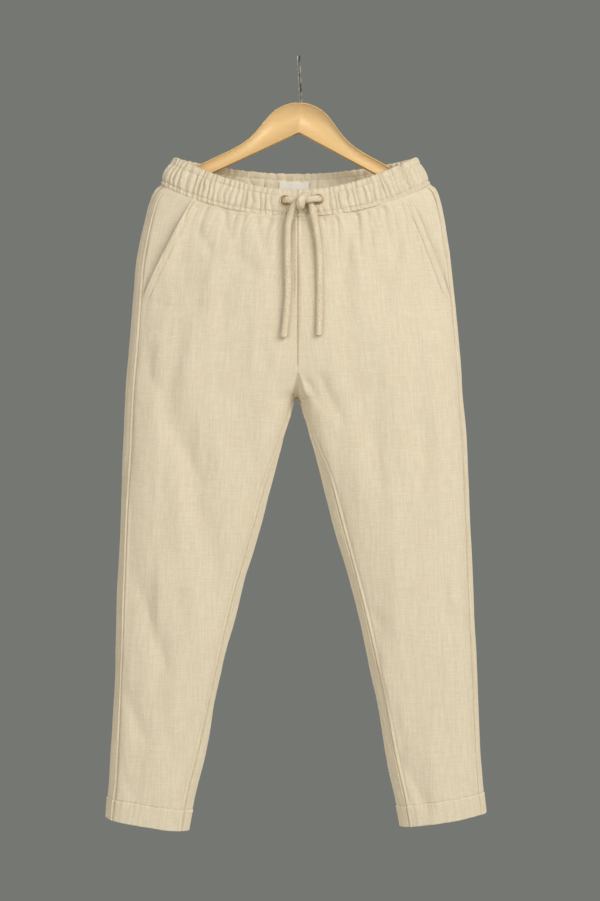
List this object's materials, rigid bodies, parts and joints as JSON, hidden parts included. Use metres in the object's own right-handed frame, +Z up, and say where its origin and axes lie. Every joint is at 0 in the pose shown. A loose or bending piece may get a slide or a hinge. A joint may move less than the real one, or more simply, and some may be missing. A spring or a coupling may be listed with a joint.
{
  "type": "cotton trousers on a wooden hanger",
  "caption": "Tapered drawstring trousers with an elastic gathered waist and slant pockets, hung by the waist on a wooden hanger with a wire hook.",
  "frame": {"origin": "inner crown of the hanger's hook, where it rests on a rail", "axes": "+Z up, -Y towards the front of the trousers, +X to the right as seen from the front"},
  "size_m": [0.5635, 0.1185, 1.1497],
  "materials": {
    "cloth": "cream cotton and linen look, plain weave with slubs, matt",
    "cord": "soft round braided drawstring, matt",
    "label": "off-white woven tape, bare",
    "brass": "satin brass",
    "steel": "satin steel wire",
    "wood": "clear satin varnish on light wood"
  },
  "bodies": {
    "root": {"front_panel_left": "cloth", "front_panel_right": "cloth", "back_panel_left": "cloth", "back_panel_right": "cloth", "pocket_left": "cloth", "pocket_right": "cloth", "waistband_front": "cloth", "waistband_back": "cloth", "drawstring_left": "cord", "drawstring_right": "cord", "back_label": "label", "eyelet_left": "brass", "eyelet_right": "brass", "hanger_hook": "steel", "hanger_wood": "wood"}
  },
  "joints": []
}
